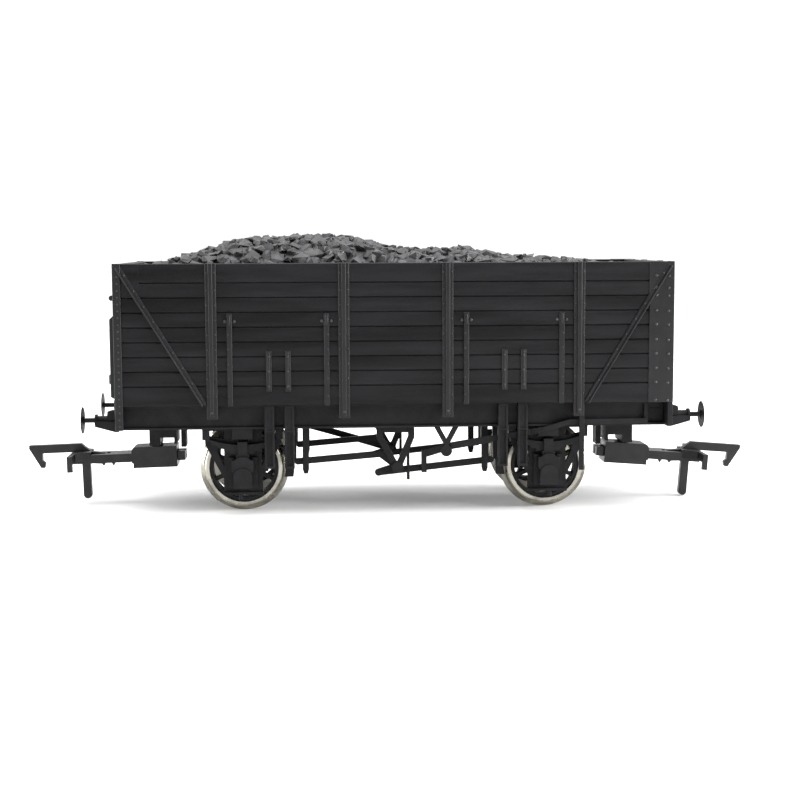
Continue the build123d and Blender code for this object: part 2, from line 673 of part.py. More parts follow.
def coupling_bar(end):
    """Coupling moulding: plug tail in the pocket, shaft with cheeks, cross bar and the hook's pin."""
    seat = SEAT[end]
    head = Pos(-seat, 0, 0) * coupling_head(POCKET_OUT + 0.02 + seat)
    return settle(coupling_tail() + head, end)


def coupling_hook(end):
    """Lifting hook with its dropper, on the pin between the shaft's cheeks."""
    x, z = HOOK_PIN
    arm = [(49.4, 9.2), (51.0, 10.55), (59.4, 10.5), (59.4, 9.95), (57.6, 6.75), (57.0, 6.75),
           (56.85, 7.5), (57.3, 7.9), (57.3, 9.15), (DROPPER_OUT, 9.15), (DROPPER_OUT, DROPPER_BOTTOM),
           (DROPPER_IN, DROPPER_BOTTOM), (DROPPER_IN, 7.2), (x, z - HOOK_EYE_R), (x, z + HOOK_EYE_R)]
    shape = plate_xz(arm, -HOOK_HALF_T, HOOK_HALF_T)
    middle = (DROPPER_IN + DROPPER_OUT) / 2
    tip_r = (DROPPER_OUT - DROPPER_IN) / 2
    shape += rod((middle, -HOOK_HALF_T, DROPPER_BOTTOM), (middle, HOOK_HALF_T, DROPPER_BOTTOM), tip_r)
    shape += rod((x, -HOOK_HALF_T, z), (x, HOOK_HALF_T, z), HOOK_EYE_R)
    shape -= rod((x, -2, z), (x, 2, z), HOOK_PIN_R + FIT)
    return settle(Pos(-SEAT[end], 0, 0) * shape, end)


# ---------------------------------------------------------------- the whole wagon
def all_parts():
    """Every sub-part by name, where it stands on the wagon."""
    parts = {
        "body_shell": body_shell(),
        "coal_load": coal_load(),
        "chassis_deck": chassis_deck(),
        "ballast_plate": ballast_plate(),
    }
    fronts = {
        "solebar": front_solebar(),
        "v_hanger": front_v_hanger(),
        "push_rods": front_push_rods(),
        "safety_loops": front_safety_loops(),
        "door_stops": front_door_stops(),
    }
    for name, shape in fronts.items():
        parts[f"{name}_front"] = shape
        parts[f"{name}_back"] = mirror(shape, about=Plane.XZ)
    parts["brake_lever_front"] = front_brake_lever()
    parts["brake_lever_back"] = back_brake_lever()
    parts["lever_bracket_front"] = lever_bracket()
    parts["lever_guard_front"] = lever_guard()
    parts["lever_guard_back"] = Rot(0, 0, 180) * lever_guard()

    for end, end_name in ((-1, "left"), (1, "right")):
        parts[f"headstock_{end_name}"] = at_end(headstock(), end)
        parts[f"axle_{end_name}"] = Pos(end * AXLE_X, 0, 0) * axle()
        parts[f"coupling_mount_{end_name}"] = at_end(coupling_mount(end), end)
        parts[f"coupling_pocket_{end_name}"] = at_end(coupling_pocket(end), end)
        parts[f"coupling_bar_{end_name}"] = at_end(coupling_bar(end), end)
        parts[f"coupling_hook_{end_name}"] = at_end(coupling_hook(end), end)
    corners = {
        "axle_guard": Pos(AXLE_X, 0, 0) * front_axle_guard(),
        "bearing_cup": Pos(AXLE_X, 0, 0) * front_bearing_cup(),
        "tyre": Pos(AXLE_X, 0, 0) * front_tyre(),
        "wheel_centre": Pos(AXLE_X, 0, 0) * front_wheel_centre(),
        "buffer_housing": front_buffer_housing(),
        "buffer": front_buffer(),
        "brake_shoe": front_brake_shoe(),
    }
    for name, shape in corners.items():
        for end, end_name in ((-1, "left"), (1, "right")):
            for side, side_name in ((-1, "front"), (1, "back")):
                parts[f"{name}_{end_name}_{side_name}"] = at_corner(shape, end, side)
    return parts


def write_parts():
    """Saves each sub-part as parts/NAME.step."""
    os.makedirs("parts", exist_ok=True)
    for name, shape in all_parts().items():
        export_step(shape, f"parts/{name}.step")
        print(name, round(shape.volume, 2))


write_parts()
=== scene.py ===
"""Nine-plank open coal wagon: surfaces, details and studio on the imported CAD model.

Blender works in metres; the sizes written here are in millimetres, except for lights and camera.
"""

import json
import math
import random

import bmesh
import bpy
from mathutils import Euler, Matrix, Quaternion, Vector, noise


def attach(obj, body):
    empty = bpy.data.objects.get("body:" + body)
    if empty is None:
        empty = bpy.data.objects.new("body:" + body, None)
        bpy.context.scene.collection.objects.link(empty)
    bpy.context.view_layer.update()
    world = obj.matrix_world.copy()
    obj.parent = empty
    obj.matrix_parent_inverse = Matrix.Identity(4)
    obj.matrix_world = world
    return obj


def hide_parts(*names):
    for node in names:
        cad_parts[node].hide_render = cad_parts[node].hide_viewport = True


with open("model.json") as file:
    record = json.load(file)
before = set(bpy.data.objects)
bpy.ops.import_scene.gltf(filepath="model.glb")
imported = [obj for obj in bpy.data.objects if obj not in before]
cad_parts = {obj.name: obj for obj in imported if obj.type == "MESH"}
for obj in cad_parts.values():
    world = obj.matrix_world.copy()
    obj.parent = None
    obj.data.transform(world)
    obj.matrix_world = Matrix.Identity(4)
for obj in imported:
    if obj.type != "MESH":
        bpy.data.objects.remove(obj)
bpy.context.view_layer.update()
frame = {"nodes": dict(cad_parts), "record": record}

MM = 0.001

# ---- sizes shared with the CAD model, mm ----
BODY_HALF_L = 43.0
BODY_FACE = 16.3
FRONT = -BODY_FACE
BODY_BOTTOM = 17.55
BODY_TOP = 39.5
WALL = 1.5
FLOOR_UNDER = 18.4
FLOOR_TOP = 19.4
INNER_RIB_X = (-36.0, 0.0, 36.0)
INNER_RIB = 0.6
INNER_RIB_TOP = 37.35
TOP_PLANK = 3.0
PLANK = 2.265
POST_X = (-28.4, -8.1, 7.9, 28.35)
POST_HALF = 0.85
POST_BOTTOM = 15.55
DOOR_X = 18.2
DOOR_HALF = 7.43
DOOR_POST_TOP = 31.8
DOOR_LUG_BOTTOM = 29.9
STRAP_HALF_GAP = 1.47
STRAP_Z = (19.75, 26.1)
BRACE_TOP = (42.45, BODY_TOP)
BRACE_BOTTOM = (29.55, 17.4)
HINGE_OUT = 0.5
HINGE_Z = 34.25
SOLEBAR_FACE = 14.3
CORNER_PLATE_IN = 39.25
LEFT_PLATE_BOTTOM = 35.2
CORNER_ANGLE_IN = 42.0
CORNER_ANGLE_BOTTOM = 13.95
END_POST_Y = 6
END_PLATE_IN = 13.1
END_STRAP_Y = (-9.0, 0.0, 9.0)
END_STRAP_OUT = 0.6

# ---- details of the shown surfaces, mm: plank skin, plank gap, and depth that ironwork is let in ----
SKIN = 0.45
JOINT_HALF = 0.06
ROOT = 0.2
POST_FLANGE = 0.35
POST_RIB = 0.75
POST_RIB_HALF = 0.34
STRAP_RIB = 0.5
CAD_NODE_BEVEL = 0.06
POST_BOLT_Z = 16.6
DOOR_BOLT_Z = 30.6
STRAP_RIVET_Z = (20.6, 22.9, 25.2)
PLATE_RIVET_Z = (37.3, 35.45, 34.25, 31.9, 29.75, 27.4, 25.2, 22.95, 20.7, 17.95)
ANGLE_RIVETS = 24
BRACE_RIVETS = 9


# ---------------------------------------------------------------- materials
def node_material(name):
    """An empty node material, its node tree and its Principled shader."""
    material = bpy.data.materials.new(name)
    material.use_nodes = True
    tree = material.node_tree
    return material, tree, tree.nodes["Principled BSDF"]


def add_node(tree, kind, **values):
    """A node of one kind with its input sockets set by name."""
    node = tree.nodes.new(kind)
    for key, value in values.items():
        node.inputs[key.replace("_", " ")].default_value = value
    return node


def object_noise(tree, scale, detail=3.0, stretch=(1, 1, 1)):
    """Noise in object space, in features per metre; a stretch below 1 draws it out along that axis."""
    place = tree.nodes.new("ShaderNodeTexCoord")
    mapping = add_node(tree, "ShaderNodeMapping", Scale=stretch)
    texture = add_node(tree, "ShaderNodeTexNoise", Scale=scale, Detail=detail)
    tree.links.new(place.outputs["Object"], mapping.inputs["Vector"])
    tree.links.new(mapping.outputs["Vector"], texture.inputs["Vector"])
    return texture.outputs["Fac"]


def value_range(tree, source, from_low, from_high, low, high):
    """Maps one range of a value onto another."""
    node = tree.nodes.new("ShaderNodeMapRange")
    node.inputs["From Min"].default_value = from_low
    node.inputs["From Max"].default_value = from_high
    node.inputs["To Min"].default_value = low
    node.inputs["To Max"].default_value = high
    tree.links.new(source, node.inputs["Value"])
    return node.outputs["Result"]


def spread(tree, source, low, high):
    """Maps the usual range of a noise onto a range of values."""
    return value_range(tree, source, 0.35, 0.65, low, high)


def colour_mix(tree, source, dark, light):
    """Colour between two tones, chosen by a noise."""
    ramp = tree.nodes.new("ShaderNodeValToRGB")
    ramp.color_ramp.elements[0].position = 0.35
    ramp.color_ramp.elements[1].position = 0.65
    ramp.color_ramp.elements[0].color = (*dark, 1)
    ramp.color_ramp.elements[1].color = (*light, 1)
    tree.links.new(source, ramp.inputs["Fac"])
    return ramp.outputs["Color"]


def bump(tree, shader, heights, distance):
    """Adds bump from one or more (source, strength) pairs, in metres of relief."""
    normal = None
    for source, strength in heights:
        node = add_node(tree, "ShaderNodeBump", Strength=strength, Distance=distance)
        tree.links.new(source, node.inputs["Height"])
        if normal is not None:
            tree.links.new(normal, node.inputs["Normal"])
        normal = node.outputs["Normal"]
    tree.links.new(normal, shader.inputs["Normal"])


def moulded_plastic(name, dark, light, rough=(0.36, 0.5), grain=(1, 1, 1),
                    specular=0.17, relief=0.00003):
    """Satin moulded plastic: slightly uneven tone and gloss, fine surface texture."""
    material, tree, shader = node_material(name)
    shader.inputs["Specular IOR Level"].default_value = specular
    broad = object_noise(tree, 450, 4, grain)
    fine = object_noise(tree, 2600, 3, grain)
    sparkle = object_noise(tree, 9000, 2)
    tree.links.new(colour_mix(tree, broad, dark, light), shader.inputs["Base Color"])
    tree.links.new(spread(tree, fine, *rough), shader.inputs["Roughness"])
    bump(tree, shader, [(fine, 0.35), (sparkle, 0.25)], relief)
    return material


def turned_metal(name, dark, light, rough):
    """Turned metal: fine rings round the axle (along Y), slight tarnish."""
    material, tree, shader = node_material(name)
    shader.inputs["Metallic"].default_value = 1.0
    tarnish = object_noise(tree, 420, 4)
    lathe = object_noise(tree, 9000, 2, (0.02, 1, 0.02))
    tree.links.new(colour_mix(tree, tarnish, dark, light), shader.inputs["Base Color"])
    tree.links.new(spread(tree, tarnish, *rough), shader.inputs["Roughness"])
    bump(tree, shader, [(lathe, 0.2)], 0.00002)
    return material


def coal_material():
    """Broken coal: near black, each lump a little different, with glossy and dull facets."""
    material, tree, shader = node_material("coal")
    shader.inputs["Specular IOR Level"].default_value = 0.4
    patches = object_noise(tree, 330, 2)
    grit = object_noise(tree, 3200, 5)
    tree.links.new(colour_mix(tree, patches, (0.008, 0.008, 0.0095), (0.05, 0.05, 0.053)),
                   shader.inputs["Base Color"])
    tree.links.new(spread(tree, patches, 0.32, 0.5), shader.inputs["Roughness"])
    bump(tree, shader, [(grit, 0.5)], 0.00008)
    return material


def floor_material():
    """Pale matt studio floor."""
    material, tree, shader = node_material("studio_floor")
    tone = object_noise(tree, 6, 2)
    tree.links.new(colour_mix(tree, tone, (0.86, 0.86, 0.86), (0.9, 0.9, 0.9)),
                   shader.inputs["Base Color"])
    shader.inputs["Roughness"].default_value = 0.9
    shader.inputs["Specular IOR Level"].default_value = 0.1
    return material


BLACK = (0.0042, 0.0042, 0.0048)
DARK = (0.0075, 0.0075, 0.0085)
MATERIALS = {
    "body_black": moulded_plastic("body_black", (0.0012, 0.0012, 0.0016), (0.0078, 0.0078, 0.009),
                                  grain=(0.1, 1, 1), specular=0.16, relief=0.00006),
    # Painted highlight: the ironwork is the same black plastic as the planks, given a lighter tone here
    # so the stanchions, straps and braces read brighter.
    "ironwork_black_painted_highlight": moulded_plastic("ironwork_black_painted_highlight", (0.006, 0.006, 0.0068), (0.009, 0.009, 0.01),
                                      rough=(0.3, 0.38), specular=0.24, relief=0.00001),
    # Painted highlight: the rivet heads are the same black plastic as the body, given a lighter tone
    # here so they show as bright points.
    "rivet_black_painted_highlight": moulded_plastic("rivet_black_painted_highlight", (0.01, 0.01, 0.011), (0.016, 0.016, 0.017),
                                   rough=(0.28, 0.36), specular=0.45, relief=0.00001),
    "chassis_black": moulded_plastic("chassis_black", BLACK, DARK, rough=(0.46, 0.6)),
    "wheel_black": moulded_plastic("wheel_black", BLACK, DARK, rough=(0.4, 0.5)),
    "coupling_black": moulded_plastic("coupling_black", (0.008, 0.008, 0.0085), (0.014, 0.014, 0.0145),
                                      rough=(0.3, 0.42), specular=0.25),
    "tyre_nickel": turned_metal("tyre_nickel", (0.2, 0.19, 0.16), (0.4, 0.39, 0.335), (0.2, 0.36)),
    "axle_steel": turned_metal("axle_steel", (0.4, 0.4, 0.4), (0.6, 0.6, 0.6), (0.25, 0.4)),
    "bearing_brass": turned_metal("bearing_brass", (0.6, 0.42, 0.16), (0.8, 0.6, 0.28), (0.25, 0.4)),
    "ballast_steel": turned_metal("ballast_steel", (0.3, 0.3, 0.3), (0.45, 0.45, 0.45), (0.35, 0.5)),
    "coal": coal_material(),
}


# ---------------------------------------------------------------- mesh helpers, in millimetres
def circle(radius, sides, z=0.0):
    """Points round a circle in the XY plane, at one height."""
    angles = [2 * math.pi * i / sides for i in range(sides)]
    return [Vector((radius * math.cos(angle), radius * math.sin(angle), z)) for angle in angles]


class Shape:
    """Collects vertices and faces for one piece, in millimetres."""

    RIVET_SIDES = 10
    ROD_SIDES = 20

    def __init__(self):
        self.verts = []
        self.faces = []

    def add(self, verts, faces):
        """Adds vertices, and faces that number those vertices from 0."""
        start = len(self.verts)
        self.verts += [Vector(v) for v in verts]
        self.faces += [[start + i for i in face] for face in faces]

    def block(self, x0, x1, y0, y1, z0, z1):
        """Box between two opposite corners."""
        x0, x1 = sorted((x0, x1))
        y0, y1 = sorted((y0, y1))
        z0, z1 = sorted((z0, z1))
        verts = [(x, y, z) for x in (x0, x1) for y in (y0, y1) for z in (z0, z1)]
        faces = [(0, 1, 3, 2), (4, 6, 7, 5), (0, 4, 5, 1), (2, 3, 7, 6), (0, 2, 6, 4), (1, 5, 7, 3)]
        self.add(verts, faces)

    def prism(self, outline, y0, y1):
        """Plate in the XZ plane from an outline of (x, z) points."""
        count = len(outline)
        area = sum(x0 * z1 - x1 * z0 for (x0, z0), (x1, z1) in zip(outline[-1:] + outline, outline))
        if area < 0:
            outline = outline[::-1]
        y0, y1 = sorted((y0, y1))
        verts = [(x, y0, z) for x, z in outline] + [(x, y1, z) for x, z in outline]
        faces = [list(range(count)), list(range(2 * count - 1, count - 1, -1))]
        for i in range(count):
            after = (i + 1) % count
            faces.append((i, i + count, after + count, after))
        self.add(verts, faces)

    def rivet(self, centre, normal, radius, height=None):
        """Domed rivet head standing on a surface."""
        height = height or radius * 0.7
        sides = self.RIVET_SIDES
        turn = Vector(normal).to_track_quat("Z", "Y")
        rings = ((1.0, 0.0), (0.92, 0.45), (0.6, 0.85))
        points = [point for wide, high in rings for point in circle(radius * wide, sides, height * high)]
        points.append(Vector((0, 0, height)))
        verts = [Vector(centre) + turn @ point for point in points]
        faces = []
        for ring in range(len(rings) - 1):
            for i in range(sides):
                after = (i + 1) % sides
                low = ring * sides
                faces.append((low + i, low + after, low + sides + after, low + sides + i))
        top = (len(rings) - 1) * sides
        for i in range(sides):
            faces.append((top + i, top + (i + 1) % sides, len(verts) - 1))
        faces.append(tuple(range(sides - 1, -1, -1)))
        self.add(verts, faces)

    def rod(self, start, end, radius):
        """Round rod between two points."""
        sides = self.ROD_SIDES
        turn = (Vector(end) - Vector(start)).to_track_quat("Z", "Y")
        ring = circle(radius, sides)
        verts = [Vector(centre) + turn @ point for centre in (start, end) for point in ring]
        faces = [tuple(range(sides - 1, -1, -1)), tuple(range(sides, 2 * sides))]
        for i in range(sides):
            after = (i + 1) % sides
            faces.append((i, after, after + sides, i + sides))
        self.add(verts, faces)

    def mirror_to_back(self):
        """Adds a mirror image of everything so far, across y = 0."""
        verts = [(v.x, -v.y, v.z) for v in self.verts]
        faces = [list(reversed(face)) for face in self.faces]
        self.add(verts, faces)


def rounded(mesh, width):
    """A rounded copy of a mesh: flat faces merged, then every sharp edge bevelled."""
    bm = bmesh.new()
    bm.from_mesh(mesh)
    bmesh.ops.remove_doubles(bm, verts=bm.verts, dist=0.001 * MM)
    bmesh.ops.dissolve_limit(bm, angle_limit=math.radians(0.5), verts=bm.verts, edges=bm.edges)
    sharp = [e for e in bm.edges if e.is_manifold and e.calc_face_angle() > math.radians(32)]
    bmesh.ops.bevel(bm, geom=sharp, offset=width * MM, offset_type="OFFSET", segments=2, profile=0.5,
                    affect="EDGES", clamp_overlap=False)
    result = bpy.data.meshes.new(mesh.name)
    bm.to_mesh(result)
    bm.free()
    return result


def extent(mesh):
    """Lowest and highest corner of a mesh."""
    spots = [v.co for v in mesh.vertices]
    return [pick(v[i] for v in spots) for pick in (min, max) for i in range(3)]


def folded(mesh):
    """True if a flat face overlaps itself, which too wide a rounding does to small details."""
    mesh.calc_loop_triangles()
    flat = sum(face.area for face in mesh.polygons)
    cut = sum(triangle.area for triangle in mesh.loop_triangles)
    return cut > 1.0002 * flat


def round_edges(mesh, width):
    """Rounded copy: the widest rounding that keeps the bounds and folds nothing, or a sharp copy."""
    for share in (1.0, 0.6, 0.35):
        result = rounded(mesh, width * share)
        moved = max(abs(a - b) for a, b in zip(extent(mesh), extent(result)))
        if moved < 0.03 * MM and not folded(result):
            return result
    return mesh.copy()


def show(name, mesh, body, slot, flat=False, painted_highlight_material=None):
    """Puts a mesh in the scene on a body, with its slot's material, or a lighter copy of that plastic
    with painted highlight.
    """
    mesh.materials.clear()
    # The lighter copy, where given, paints a highlight on the plastic of the slot's material.
    mesh.materials.append(MATERIALS[painted_highlight_material or slot])
    mesh.polygons.foreach_set("use_smooth", [not flat] * len(mesh.polygons))
    obj = bpy.data.objects.new(name, mesh)
    bpy.context.scene.collection.objects.link(obj)
    if not flat:
        mesh.set_sharp_from_angle(angle=math.radians(50))
        weights = obj.modifiers.new("flat_faces", "WEIGHTED_NORMAL")
        weights.keep_sharp = True
    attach(obj, body)
    return obj


def piece(name, shape, body, slot, bevel, replaces=(), flat=False, painted_highlight_material=None):
    """Makes an object from a shape, with rounded edges unless bevel is 0."""
    mesh = bpy.data.meshes.new(name)
    mesh.from_pydata([v * MM for v in shape.verts], [], shape.faces)
    mesh.validate()
    if bevel:
        mesh = round_edges(mesh, bevel)
    obj = show(name, mesh, body, slot, flat, painted_highlight_material)
    if replaces:
        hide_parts(*replaces)


def softened(node, slot, body):
    """A copy of a CAD node with rounded edges, shown in its place."""
    mesh = round_edges(frame["nodes"][node].data, CAD_NODE_BEVEL)
    obj = show(f"{node}_soft", mesh, body, slot)
    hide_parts(node)


# ---------------------------------------------------------------- body
def plank_edges():
    """Heights of the plank joints, with the top and bottom of the body."""
    joints = [BODY_TOP - TOP_PLANK - i * PLANK for i in range(8)]
    return [BODY_TOP] + joints + [BODY_BOTTOM]


def body_planks():
    """Sides and ends as single planks over a closed backing box, with the floor."""
    shape = Shape()
    inner_x = BODY_HALF_L - WALL
    inner_y = BODY_FACE - WALL
    skin_x = BODY_HALF_L - SKIN
    skin_y = BODY_FACE - SKIN
    end_y = skin_y - 0.02
    edges = plank_edges()
    for high, low in zip(edges, edges[1:]):
        low += JOINT_HALF
        high -= JOINT_HALF
        for side in (-1, 1):
            shape.block(-BODY_HALF_L, BODY_HALF_L, side * skin_y, side * BODY_FACE, low, high)
            shape.block(side * skin_x, side * BODY_HALF_L, -end_y, end_y, low, high)
    for side in (-1, 1):
        shape.block(-skin_x - 0.1, skin_x + 0.1, side * inner_y, side * (skin_y + 0.1),
                    BODY_BOTTOM + 0.1, BODY_TOP - 0.05)
        shape.block(side * inner_x, side * (skin_x + 0.05), -inner_y - 0.1, inner_y + 0.1,
                    BODY_BOTTOM + 0.15, BODY_TOP - 0.06)
        for x in INNER_RIB_X:
            shape.block(x - INNER_RIB, x + INNER_RIB, side * inner_y, side * (inner_y - INNER_RIB),
                        FLOOR_TOP, INNER_RIB_TOP)
    shape.block(-inner_x - 0.2, inner_x + 0.2, -inner_y - 0.2, inner_y + 0.2, FLOOR_UNDER, FLOOR_TOP)
    piece("body_planks", shape, "wagon", "body_black", 0.18, ["body_shell"])


def left_corner_plates():
    """Thin plates on the upper corners of the sides, at the end door."""
    shape = Shape()
    for side in (-1, 1):
        shape.block(-BODY_HALF_L, -CORNER_PLATE_IN, side * (BODY_FACE - ROOT), side * (BODY_FACE + 0.08),
                    LEFT_PLATE_BOTTOM, BODY_TOP - 0.1)
    piece("left_corner_plates", shape, "wagon", "body_black", 0.03)


def strip(start, end, width, shift=0.0):
    """Corners of a straight strip between two points, moved sideways by shift."""
    along = (Vector(end) - Vector(start)).normalized()
    side = Vector((-along.y, along.x))
    return [tuple(Vector(p) + side * (shift + turn * width / 2))
            for p, turn in ((start, 1), (end, 1), (end, -1), (start, -1))]


def brace_line(end):
    """Top and bottom of the diagonal brace at one end, in the XZ plane."""
    top = Vector((end * BRACE_TOP[0], BRACE_TOP[1] - 0.5))
    low = Vector((end * BRACE_BOTTOM[0], BRACE_BOTTOM[1] + 0.35))
    return top, low


def upright(shape, x, half, out, low, high, behind=ROOT):
    """Upright flat bar on the front face of the body."""
    shape.block(x - half, x + half, FRONT - out, FRONT + behind, low, high)


def door_ironwork(shape):
    """Posts and straps of the two moulded side doors."""
    for x in (-DOOR_X, DOOR_X):
        for turn in (-1, 1):
            post = x + turn * DOOR_HALF
            upright(shape, post, 0.42, 0.35, BODY_BOTTOM, DOOR_POST_TOP)
            upright(shape, post, 0.2, 0.55, DOOR_LUG_BOTTOM, DOOR_POST_TOP - 0.2, 0)
            strap = x + turn * STRAP_HALF_GAP
            upright(shape, strap, 0.43, 0.32, *STRAP_Z)
            upright(shape, strap, 0.2, STRAP_RIB, STRAP_Z[0] + 0.25, STRAP_Z[1] - 0.2, 0)


def body_ironwork():
    """Stanchions, door posts, straps, corner plates and braces on both sides."""
    shape = Shape()
    for x in POST_X:
        upright(shape, x, POST_HALF, POST_FLANGE, POST_BOTTOM, BODY_TOP)
        upright(shape, x, POST_RIB_HALF, POST_RIB, POST_BOTTOM + 0.35, BODY_TOP - 0.02, 0)
        shape.block(x - 0.6, x + 0.6, FRONT, -SOLEBAR_FACE, POST_BOTTOM, BODY_BOTTOM + 0.1)
    door_ironwork(shape)
    for end in (-1, 1):
        top, low = brace_line(end)
        shape.prism(strip(top, low, 0.85), FRONT - 0.25, FRONT + ROOT)
        shape.prism(strip(top, low, 0.3, end * 0.3), FRONT - 0.6, FRONT + ROOT)
    shape.block(CORNER_PLATE_IN, BODY_HALF_L + 0.2, FRONT - 0.2, FRONT + ROOT, BODY_BOTTOM, BODY_TOP)
    shape.block(-BODY_HALF_L - 0.25, -CORNER_ANGLE_IN, FRONT - POST_FLANGE, FRONT + ROOT,
                CORNER_ANGLE_BOTTOM, BODY_TOP)
    shape.mirror_to_back()
    piece("body_ironwork", shape, "wagon", "body_black", 0.13, painted_highlight_material="ironwork_black_painted_highlight")


def end_ironwork():
    """End door fittings at -X, stanchions and corner plates at +X."""
    shape = Shape()
    end = BODY_HALF_L
    hinge = -end - HINGE_OUT
    shape.rod((hinge, -15.6, HINGE_Z), (hinge, 15.6, HINGE_Z), 0.33)
    for y in END_STRAP_Y:
        shape.block(-end - END_STRAP_OUT, -end + ROOT, y - 0.65, y + 0.65, BODY_BOTTOM, HINGE_Z + 0.6)
        shape.rod((hinge, y - 1.0, HINGE_Z), (hinge, y + 1.0, HINGE_Z), 0.5)
    for side in (-1, 1):
        shape.rod((hinge, side * 14.85, HINGE_Z), (hinge, side * 15.75, HINGE_Z), 0.42)
        shape.block(-end - 0.25, -end + 0.1, side * 15.0, side * 15.6, HINGE_Z - 0.4, HINGE_Z + 0.4)
        iron = [(-end + ROOT, 18.6), (-end, 18.6), (-end - 0.9, 19.1), (-end - 0.9, 31.0),
                (-end, 31.9), (-end + ROOT, 31.9)]
        shape.prism(iron, side * 14.5, side * 15.9)
        shape.block(-end - 1.15, -end, side * 14.6, side * 15.6, 21.1, 22.5)
        post = side * END_POST_Y
        shape.block(end - ROOT, end + POST_FLANGE, post - POST_HALF, post + POST_HALF,
                    BODY_BOTTOM, BODY_TOP)
        shape.block(end, end + 0.7, post - POST_RIB_HALF, post + POST_RIB_HALF,
                    BODY_BOTTOM, BODY_TOP - 0.02)
        shape.block(end - ROOT, end + 0.2, side * END_PLATE_IN, side * BODY_FACE, BODY_BOTTOM, BODY_TOP)
    piece("end_ironwork", shape, "wagon", "body_black", 0.09, painted_highlight_material="ironwork_black_painted_highlight")


def front_rivet(shape, x, z, out, radius, height=None):
    """Rivet head on the front side, its foot a distance out from the planks."""
    shape.rivet((x, FRONT - out, z), (0, -1, 0), radius, height)


def post_rivets(shape, middles):
    """Two rows of rivets down each stanchion, with a bolt at its foot."""
    for x in POST_X:
        for z in middles:
            for side in (-1, 1):
                front_rivet(shape, x + side * 0.6, z, POST_FLANGE, 0.13)
        front_rivet(shape, x, POST_BOLT_Z, POST_RIB, 0.22)


def door_rivets(shape, middles):
    """Rivets of the side doors' posts and straps, and the bolts beside each post."""
    for x in (-DOOR_X, DOOR_X):
        for turn in (-1, 1):
            post = x + turn * DOOR_HALF
            for z in middles[3:]:
                front_rivet(shape, post + turn * 0.2, z, 0.35, 0.12)
            for side in (-1, 1):
                front_rivet(shape, post + side * 0.72, DOOR_BOLT_Z, 0, 0.3, 0.3)
            strap = x + turn * STRAP_HALF_GAP
            for z in STRAP_RIVET_Z:
                front_rivet(shape, strap, z, STRAP_RIB, 0.16)


def corner_rivets(shape):
    """Rivets of the right corner plate and of the left corner angle."""
    for z in PLATE_RIVET_Z:
        front_rivet(shape, 40.38, z, 0.2, 0.26)
        front_rivet(shape, 42.28, z - 0.1, 0.2, 0.24)
    for i in range(ANGLE_RIVETS):
        front_rivet(shape, -42.5, 14.6 + i * 1.04, POST_FLANGE, 0.14)


def brace_rivets(shape):
    """Rivets along both diagonal braces, beside the rib."""
    for end in (-1, 1):
        top, low = brace_line(end)
        side = Vector((-(low - top).y, (low - top).x)).normalized() * end
        for i in range(BRACE_RIVETS):
            spot = top.lerp(low, (i + 0.6) / BRACE_RIVETS) - side * 0.15
            front_rivet(shape, spot.x, spot.y, 0.25, 0.16)


def end_rivets(shape, middles):
    """Rivets of the fixed end's posts and corner plates, and of the end door's straps."""
    for z in middles:
        for side in (-1, 1):
            for offset in (-0.6, 0.6):
                place = (BODY_HALF_L + POST_FLANGE, side * END_POST_Y + offset, z)
                shape.rivet(place, (1, 0, 0), 0.13)
            for y in (13.7, 15.6):
                shape.rivet((BODY_HALF_L + 0.2, side * y, z), (1, 0, 0), 0.2)
        for y in END_STRAP_Y:
            if z < HINGE_Z - 0.75:
                shape.rivet((-BODY_HALF_L - END_STRAP_OUT, y, z), (-1, 0, 0), 0.2)


def body_rivets():
    """Rivet heads of the stanchions, straps, braces, corner plates and both ends."""
    shape = Shape()
    edges = plank_edges()
    middles = [(high + low) / 2 for high, low in zip(edges, edges[1:])]
    post_rivets(shape, middles)
    door_rivets(shape, middles)
    corner_rivets(shape)
    brace_rivets(shape)
    shape.mirror_to_back()
    end_rivets(shape, middles)
    piece("body_rivets", shape, "wagon", "body_black", 0, painted_highlight_material="rivet_black_painted_highlight")


# ---------------------------------------------------------------- coal
RIDGE = ((-41.1, 38.9), (-36, 39.9), (-31, 41.5), (-27, 42.7), (-22, 43.9), (-9, 44.0), (-4.5, 43.2),
         (1, 41.8), (8, 41.7), (12, 42.1), (17, 40.7), (27, 40.2), (36, 39.2), (41.1, 38.7))
LOAD_UNDER = 37.4
LOAD_RIM = 38.5
LOAD_HALF_L = 41.1
LOAD_HALF_W = 14.4
LOAD_TOP = 44.3
BED_DEPTH = 0.9
HEAP_SEED = 20
LUMP_LAYERS = ((2.5, 1.6, 2.3, 0.15), (1.9, 0.9, 1.4, 0.0))


def heap_height(x, y):
    """Height of the heap at a point, from its ridge line and rounded cross-section."""
    x = max(-LOAD_HALF_L, min(LOAD_HALF_L, x))
    ridge = RIDGE[-1][1]
    for (x0, z0), (x1, z1) in zip(RIDGE, RIDGE[1:]):
        if x0 <= x <= x1:
            ridge = z0 + (z1 - z0) * (x - x0) / (x1 - x0)
            break
    across = min(1, abs(y) / LOAD_HALF_W)
    return LOAD_RIM + (ridge - LOAD_RIM) * (1 - across ** 2.4)


